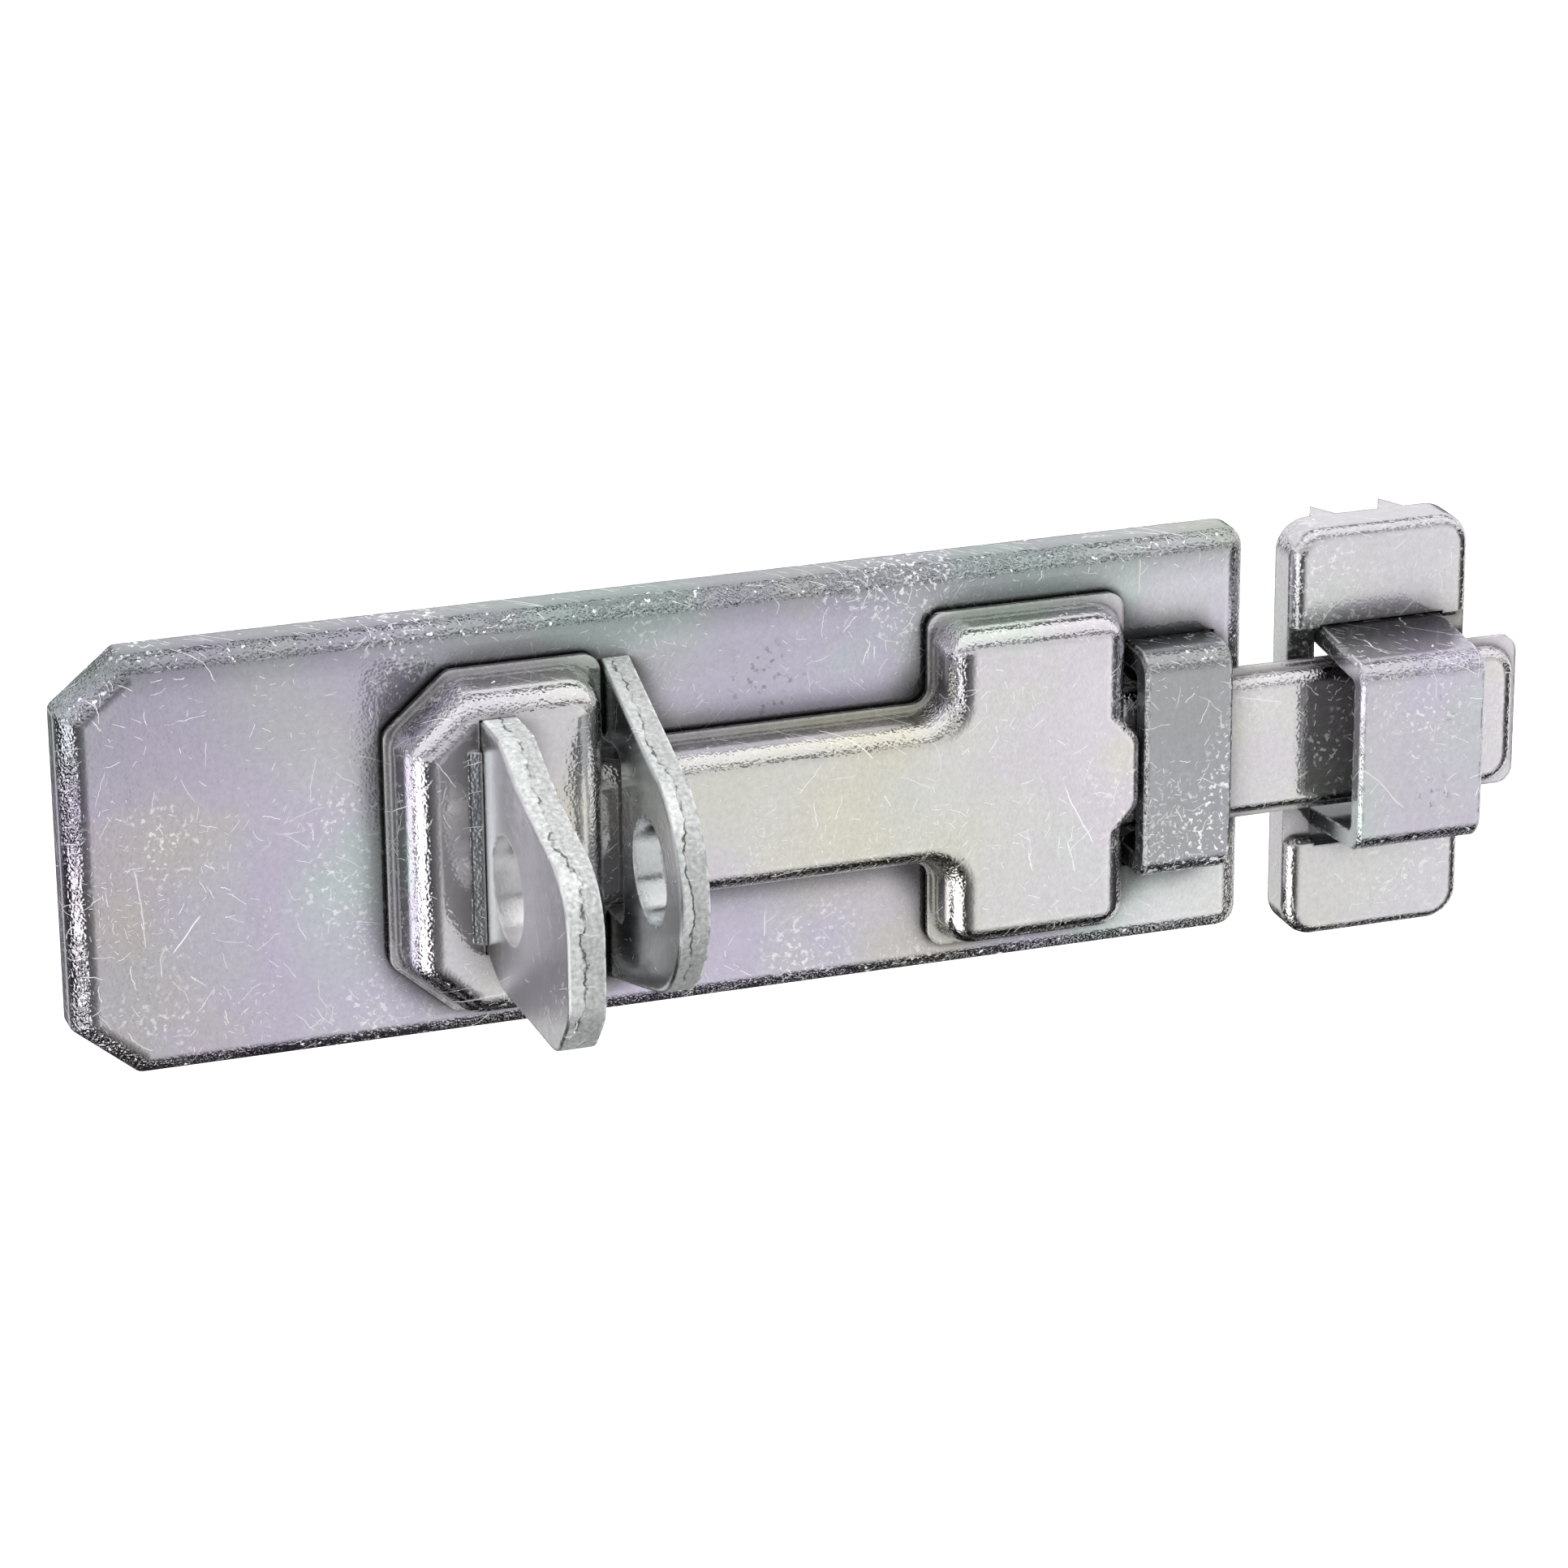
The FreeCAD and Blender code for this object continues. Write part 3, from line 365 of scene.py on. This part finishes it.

# %% [markdown]
# ## The zinc finish
# One function makes the finish of every piece from the groups, so that all the pieces belong
# together; each piece then has its own grey, gloss and amount of wear. A scratch has lost its
# mirror, so it is less metallic, rougher and pale. The flats are a little satin: a small share of
# them is not metallic, so they stay grey where the room is dark. The Bevel node finds the edges,
# where the plating is rubbed and a pale painted highlight runs along them, and the normal itself
# tells a bend from a flat: on a flat or an upright wall its largest part is nearly 1, and on a bend
# it is smaller. Ambient occlusion paints shade into the colour of the narrow places where parts
# meet, faces that look back are darkened with painted shade, and slow bands by position paint
# whole regions of a piece lighter or darker.

# %% Zinc finish
PALE = (0.94, 0.95, 0.95, 1.0)
# The dark of the dirt pits, also used as painted shade in narrow places and on faces that look back.
DIRT_AND_PAINTED_SHADE = (0.035, 0.035, 0.033, 1.0)
EDGE_ROUND_RADIUS = 0.0005
CONTACT_SHADE_REACH = 0.0060
GRAIN_DEPTH = 0.00012
SPOT_DARKNESS, SPECK_DARKNESS = 0.45, 0.85
WORN_ROUGHNESS, WORN_DULLNESS = 0.25, 0.75
EDGE_SCALE, FLECK_SCALE, SCUFF_SCALE, CRUMB_SCALE = 900.0, 1300.0, 48.0, 1500.0
LAYER_SEED, SCUFF_SEED = 3.1, 4.0
CALM_FADE = 0.0001
STROKE_LAYERS = [
    dict(Scale=950.0, Length=0.45, Width=0.050, Bend=0.25),
    dict(Scale=450.0, Length=0.50, Width=0.026, Bend=0.5),
    dict(Scale=280.0, Length=0.60, Width=0.017, Bend=0.8),
    dict(Scale=210.0, Length=0.70, Width=0.012, Bend=0.6),
    dict(Scale=75.0, Length=0.60, Width=0.0080, Bend=0.3),
]
STROKE_SHARES = (1.5, 1.6, 1.4, 1.4, 1.2)


def bent_mask(tree, normal):
    """1 on bends and 0 on flats and upright walls: the normal's largest part, turned over."""
    turned = vector_maths(tree, "ABSOLUTE", normal).outputs["Vector"]
    parts = add(tree, "ShaderNodeSeparateXYZ", Vector=turned).outputs
    largest = maths(tree, "MAXIMUM", maths(tree, "MAXIMUM", parts["X"], parts["Y"]), parts["Z"])
    return band(tree, maths(tree, "SUBTRACT", 1.0, largest), 0.012, 0.10)


def stroke_mask(tree, place, wear, seed):
    """Strokes of five lengths together, from specks to long scratches."""
    total = 0.0
    for number, (layer, share) in enumerate(zip(STROKE_LAYERS, STROKE_SHARES)):
        layer_seed = seed + LAYER_SEED * number
        made = group_node(tree, strokes, Vector=place, Cover=wear * share, Seed=layer_seed, **layer)
        total = maths(tree, "MAXIMUM", made.outputs["Mask"], total)
    return total


def edge_wear_and_highlight_mask(tree, place, rounded, normal):
    """Rubbed wear and painted highlight where the rounded normal leaves the true one, broken up unevenly.
    """
    facing = vector_maths(tree, "DOT_PRODUCT", rounded, normal).outputs["Value"]
    near_edge = band(tree, maths(tree, "SUBTRACT", 1.0, facing), 0.015, 0.12)
    broken = band(tree, noise(tree, place, EDGE_SCALE, 3.0), 0.40, 0.56)
    return maths(tree, "MULTIPLY", near_edge, broken)


def zinc_finish(
    name, metal, gloss, tint=0.6, wear=0.6, specks=0.3, edge=0.6, peel=1.0, seed=0.0, painted_contact_shade=0.0,
    inside=0.0, satin=0.11, calm=None, painted_shading=(), spots=(), cut=None,
):
    """Zinc plate as a material.

    metal is its grey and gloss its roughness; tint, wear, specks, edge (rubbed wear and painted
    highlight on edges), peel (grain on bends), painted_contact_shade (painted shade in narrow places),
    inside (painted shade on faces that look back) and satin are amounts; seed shifts the patterns;
    painted_shading is painted light and shade, slow changes of colour as (axis, start, stop, colour);
    spots are scuffed places as (centre, radius); cut is the left face and the thickness of a punched
    plate; in front of calm, a depth along Y, the bends have no grain.
    """
    material = bpy.data.materials.new(name)
    material.use_nodes = True
    tree = material.node_tree
    shader = tree.nodes["Principled BSDF"]
    place = tree.nodes.new("ShaderNodeTexCoord").outputs["Object"]
    normal = tree.nodes.new("ShaderNodeNewGeometry").outputs["Normal"]
    rounded = add(tree, "ShaderNodeBevel", {"samples": 4}, Radius=EDGE_ROUND_RADIUS).outputs["Normal"]
    clouded = group_node(tree, clouds, Vector=place, Metal=(*metal, 1.0), Tint=tint, Seed=seed)
    colour = clouded.outputs["Color"]
    along = add(tree, "ShaderNodeSeparateXYZ", Vector=place).outputs
    # Painted light and shade: each band multiplies the colour over a stretch of one axis.
    for axis, start, stop, shade in painted_shading:
        shaded = blend(tree, 1.0, colour, shade, "MULTIPLY")
        colour = blend(tree, band(tree, along[axis], start, stop), colour, shaded)
    on_bend = bent_mask(tree, normal)
    bent = maths(tree, "MULTIPLY", on_bend, peel)
    if calm:
        bent = maths(tree, "MULTIPLY", bent, band(tree, along["Y"], calm - CALM_FADE, calm))
    texture = group_node(tree, grain, Vector=place, Bent=bent, Speck_Cover=specks, Seed=seed).outputs
    marks = stroke_mask(tree, place, wear, seed)
    height = texture["Height"]
    # The edges are partly real rubbed wear and partly a painted highlight: pale, less metallic colour.
    edge_wear_and_highlight = maths(tree, "MULTIPLY", edge_wear_and_highlight_mask(tree, place, rounded, normal), edge)
    dark = texture["Specks"]
    for centre, radius in spots:
        spot = group_node(tree, scuffs, Vector=place, Centre=centre, Radius=radius).outputs["Mask"]
        dark = maths(tree, "MAXIMUM", dark, maths(tree, "MULTIPLY", spot, SPOT_DARKNESS))
    peaks = band(tree, noise(tree, place, FLECK_SCALE, 4.0, seed), 0.63, 0.69)
    flecks = maths(tree, "MULTIPLY", bent, peaks)
    scuffed = band(tree, noise(tree, place, SCUFF_SCALE, 3.0, seed + SCUFF_SEED), 0.49, 0.62)
    crumbs = band(tree, noise(tree, place, CRUMB_SCALE, 5.0, seed), 0.555, 0.63)
    flecks = maths(tree, "MAXIMUM", flecks, maths(tree, "MULTIPLY", scuffed, crumbs))
    wear_and_edge_highlight = maths(tree, "MAXIMUM", marks, edge_wear_and_highlight)
    wear_and_edge_highlight = maths(tree, "MAXIMUM", wear_and_edge_highlight, maths(tree, "MULTIPLY", flecks, wear))
    rough = maths(tree, "MULTIPLY_ADD", wear_and_edge_highlight, WORN_ROUGHNESS, gloss)
    mirror = maths(tree, "MULTIPLY_ADD", on_bend, satin, 1.0 - satin)
    metallic = maths(tree, "MULTIPLY_ADD", wear_and_edge_highlight, -WORN_DULLNESS, mirror, clamp=True)
    if cut:
        sheared = group_node(tree, shear, Vector=place, Left=cut[0], Thickness=cut[1]).outputs
        facing = add(tree, "ShaderNodeSeparateXYZ", Vector=normal).outputs
        sideways = maths(tree, "ABSOLUTE", facing["X"])
        on_edge = maths(tree, "MULTIPLY", below(tree, sideways, 0.30, 0.62), sheared["Outside"])
        colour = blend(tree, on_edge, colour, sheared["Color"])
        torn_height = maths(tree, "MULTIPLY", sheared["Height"], 1.1)
        height = maths(tree, "MULTIPLY_ADD", on_edge, torn_height, height)
        ragged_gloss = maths(tree, "MULTIPLY_ADD", sheared["Torn"], 0.10, 0.22)
        rough = maths(tree, "MULTIPLY_ADD", on_edge, ragged_gloss, rough)
        metallic = maths(tree, "MULTIPLY_ADD", on_edge, -0.25, metallic, clamp=True)
    colour = blend(tree, maths(tree, "MULTIPLY", dark, SPECK_DARKNESS), colour, DIRT_AND_PAINTED_SHADE)
    # Scratches and flecks are pale wear; along the edges the same pale colour is also a painted highlight.
    colour = blend(tree, wear_and_edge_highlight, colour, PALE)
    if painted_contact_shade:
        # Painted shade: ambient occlusion darkens the colour where parts meet and in narrow places.
        around = add(tree, "ShaderNodeAmbientOcclusion", {"samples": 8}, Distance=CONTACT_SHADE_REACH)
        painted_contact_shade_mask = maths(tree, "MULTIPLY", below(tree, around.outputs["AO"], 0.62, 0.95), painted_contact_shade)
        colour = blend(tree, painted_contact_shade_mask, colour, DIRT_AND_PAINTED_SHADE)
    if inside:
        # Painted shade: faces that look back towards the door are darkened in their colour.
        facing = add(tree, "ShaderNodeSeparateXYZ", Vector=normal).outputs
        back_facing_shade = band(tree, facing["Y"], 0.2, 0.6)
        colour = blend(tree, maths(tree, "MULTIPLY", back_facing_shade, inside), colour, DIRT_AND_PAINTED_SHADE)
    feed(tree, shader.inputs["Base Color"], colour)
    feed(tree, shader.inputs["Metallic"], metallic)
    feed(tree, shader.inputs["Roughness"], rough)
    bump = add(tree, "ShaderNodeBump", Strength=1.0, Distance=GRAIN_DEPTH, Height=height, Normal=rounded)
    feed(tree, shader.inputs["Normal"], bump.outputs["Normal"])
    return material


print("finish ready:", len(STROKE_LAYERS), "stroke layers")

# %% [markdown]
# ## Dress the pieces
# The base plate is the dullest of the pressed sheets and has the most lavender; the bolt and the
# keeper are lighter; the guide strap is a darker satin. The lugs are smooth on their faces and
# sheared at their edges.

# %% Finishes
PLATE_KNOCK = [((0.0112, -0.0055, 0.0135), 0.0062)]
STRAP_KNOCKS = [((0.0893, -0.0180, -0.0058), 0.0030), ((0.0905, -0.0180, 0.0047), 0.0022)]


def across_lug(node_name):
    """The left face and the thickness of a lug, from its box."""
    low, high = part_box(node_name)
    return low[0], high[0] - low[0]


# Painted light and shade by position: the plate darker towards its top and its left and lighter at its
# right; the bolt head darker at its left and its raised lip a touch cooler; the strap legs darker towards
# the door; the bolt lug darker near its root.
PLATE_PAINTED_SHADING = [
    ("Z", 0.0040, 0.0200, (0.88, 0.90, 0.88, 1.0)),
    ("Z", 0.0190, 0.0235, (0.70, 0.72, 0.70, 1.0)),
    ("X", -0.0300, -0.0720, (0.84, 0.82, 0.84, 1.0)),
    ("X", 0.0400, 0.0640, (1.24, 1.27, 1.18, 1.0)),
]
HEAD_LEVEL = -0.01365
BOLT_PAINTED_SHADING = [
    ("X", -0.0150, -0.0290, (0.94, 0.95, 0.96, 1.0)),
    ("Y", -0.01364, -0.0138, (0.92, 1.0, 1.0, 1.0)),
]
GUIDE_PAINTED_SHADING = [("Y", -0.0112, -0.0060, (0.42, 0.45, 0.45, 1.0))]
STRAP_PAINTED_SHADING = [("Y", -0.0172, -0.0085, (0.34, 0.34, 0.35, 1.0))]
LUG_PAINTED_SHADING = [("Y", -0.0205, -0.0150, (0.60, 0.61, 0.61, 1.0))]
FINISHES = {
    "base_plate": dict(
        metal=(0.73, 0.72, 0.77), gloss=0.12, tint=0.9, wear=0.75, peel=1.7, painted_contact_shade=0.95, seed=1.0,
        painted_shading=PLATE_PAINTED_SHADING, spots=PLATE_KNOCK,
    ),
    "bolt": dict(
        metal=(0.86, 0.86, 0.82), gloss=0.09, tint=0.8, wear=0.7, specks=0.2, peel=0.55, painted_contact_shade=0.55,
        seed=2.0, painted_shading=BOLT_PAINTED_SHADING, calm=HEAD_LEVEL,
    ),
    "guide_strap": dict(
        metal=(0.47, 0.48, 0.49), gloss=0.22, tint=0.3, wear=1.0, edge=1.0, painted_contact_shade=0.4, inside=0.95,
        seed=3.0, painted_shading=GUIDE_PAINTED_SHADING,
    ),
    "keeper_plate": dict(
        metal=(0.79, 0.79, 0.77), gloss=0.11, wear=0.7, specks=0.1, peel=0.6, painted_contact_shade=0.7, seed=4.0,
    ),
    "keeper_strap": dict(
        metal=(0.70, 0.69, 0.72), gloss=0.17, tint=0.8, wear=0.7, edge=1.0, painted_contact_shade=0.5, inside=0.95,
        seed=5.0, painted_shading=STRAP_PAINTED_SHADING, spots=STRAP_KNOCKS,
    ),
    "fixed_lug": dict(
        metal=(0.73, 0.76, 0.76), gloss=0.20, tint=0.2, wear=0.10, specks=0.1, edge=1.0, peel=0.0,
        satin=0.0, seed=6.0, cut=across_lug("fixed_lug"),
    ),
    "bolt_lug": dict(
        metal=(0.98, 0.98, 0.98), gloss=0.28, tint=0.2, wear=0.35, specks=0.1, edge=1.0, peel=0.0,
        satin=0.05, seed=7.0, painted_shading=LUG_PAINTED_SHADING, cut=across_lug("bolt_lug"),
    ),
}
for node_name, values in FINISHES.items():
    slots = frame["nodes"][node_name].data.materials
    slots.clear()
    slots.append(zinc_finish("zinc_" + node_name, **values))
print("finishes:", len(FINISHES))

# %% [markdown]
# ## The studio
# Bright metal shows what stands round it more than the light that falls on it, so the floor that we
# see and the room that the metal mirrors are made separately. The floor is a plain white sheet that
# reflections don't see.

# %% Floor
FLOOR_LEVEL = -0.16
FLOOR_HALF = 4.0
FLOOR_GREY = 0.93


def flat_card(name, centre, across, up, grey):
    """A rectangle spanned by two half-size vectors about a centre, in a matt grey."""
    signs = np.array([[-1, -1], [1, -1], [1, 1], [-1, 1]])
    corners = np.array([centre]) + signs @ np.array([across, up])
    mesh = bpy.data.meshes.new(name)
    mesh.from_pydata(corners.tolist(), [], [(0, 1, 2, 3)])
    card = bpy.data.objects.new(name, mesh)
    bpy.context.scene.collection.objects.link(card)
    paint = bpy.data.materials.new(name)
    paint.use_nodes = True
    shader = paint.node_tree.nodes["Principled BSDF"]
    shader.inputs["Base Color"].default_value = (grey, grey, grey, 1.0)
    shader.inputs["Roughness"].default_value = 0.9
    shader.inputs["Specular IOR Level"].default_value = 0.0
    mesh.materials.append(paint)
    return card


floor = flat_card("floor", (0, 0, FLOOR_LEVEL), (FLOOR_HALF, 0, 0), (0, FLOOR_HALF, 0), FLOOR_GREY)
floor.visible_glossy = False
print("floor level:", FLOOR_LEVEL)

# %% [markdown]
# ## The room that the metal mirrors
# The flat faces mirror a spot low in front and to the right, where the room is light; straight
# ahead, where the photographer stands, it is dark, and on the left there is a large bright panel.
# So the low part of the room is a ramp over the bearing, the angle from the front to the right or
# left. Above the horizon it is a ramp over the pitch, the angle from the front up over the top to
# the back, with two narrow dark gaps that draw the dark lines on the bends.

# %% Room
BEARING_STOPS = [
    (-180, 0.05), (-168, 0.05), (-165, 0.75), (-153, 0.75), (-149, 0.04), (-92, 0.04), (-84, 1.9),
    (-52, 1.9), (-42, 0.2), (-34, 0.06), (-8, 0.08), (2, 0.26), (11, 0.74), (18, 0.72), (26, 0.84),
    (40, 0.90), (48, 0.3), (52, 0.04), (100, 0.04), (106, 1.0), (140, 1.0), (146, 0.05), (180, 0.05),
]
PITCH_STOPS = [
    (-180, 0.05), (-8, 0.66), (6, 0.66), (27, 0.72), (31, 0.03), (37, 0.03), (41, 0.85), (100, 1.1),
    (106, 0.05), (116, 0.05), (122, 0.85), (165, 0.85), (180, 0.4),
]
PLAIN_LIGHT = (0.9, 0.9, 0.9, 1.0)
UNDERNEATH_DARK = 0.92


def degree_ramp(tree, radians, stops):
    """A brightness that follows an angle; stops are (degrees, brightness) from -180 to 180."""
    share = maths(tree, "MULTIPLY_ADD", radians, 0.5 / math.pi, 0.5)
    ramp = add(tree, "ShaderNodeValToRGB", Fac=share)
    elements = ramp.color_ramp.elements
    while len(elements) < len(stops):
        elements.new(0.5)
    for element, (degrees, light) in zip(elements, stops):
        element.position = degrees / 360 + 0.5
        element.color = (light, light, light, 1.0)
    return ramp.outputs["Color"]


world = bpy.data.worlds.new("light_room")
world.use_nodes = True
bpy.context.scene.world = world
room = world.node_tree
direction = room.nodes.new("ShaderNodeTexCoord").outputs["Generated"]
ahead = add(room, "ShaderNodeSeparateXYZ", Vector=direction).outputs
front = maths(room, "MULTIPLY", ahead["Y"], -1.0)
low_room = degree_ramp(room, maths(room, "ARCTAN2", ahead["X"], front), BEARING_STOPS)
high_room = degree_ramp(room, maths(room, "ARCTAN2", ahead["Z"], front), PITCH_STOPS)
steep = below(room, ahead["Z"], -0.92, -0.62)
underneath = maths(room, "MULTIPLY_ADD", steep, -UNDERNEATH_DARK, 1.0)
low_room = blend(room, 1.0, low_room, underneath, "MULTIPLY")
mirrored_room = blend(room, band(room, ahead["Z"], -0.02, 0.14), low_room, high_room)
is_mirrored = room.nodes.new("ShaderNodeLightPath").outputs["Is Glossy Ray"]
background = room.nodes["Background"].inputs
feed(room, background["Color"], blend(room, is_mirrored, PLAIN_LIGHT, mirrored_room))
background["Strength"].default_value = 1.0
print("room stops:", len(BEARING_STOPS), "and", len(PITCH_STOPS))

# %% [markdown]
# ## The lamp
# One large soft lamp overhead lights the floor and the pale scratches. It is hidden from
# reflections, because the room above already says what the metal sees.

# %% Lamp
LAMP_SIZE = 1.8
LAMP_WATTS = 27.0
LAMP_PLACE = (0.0, 0.2, 1.6)

lamp_data = bpy.data.lights.new("top_lamp", "AREA")
lamp_data.shape = "RECTANGLE"
lamp_data.size = lamp_data.size_y = LAMP_SIZE
lamp_data.energy = LAMP_WATTS
lamp = bpy.data.objects.new("top_lamp", lamp_data)
lamp.location = LAMP_PLACE
lamp.visible_glossy = False
bpy.context.scene.collection.objects.link(lamp)
bpy.context.scene.view_settings.view_transform = "Standard"
print("lamp:", lamp_data.energy, "W")
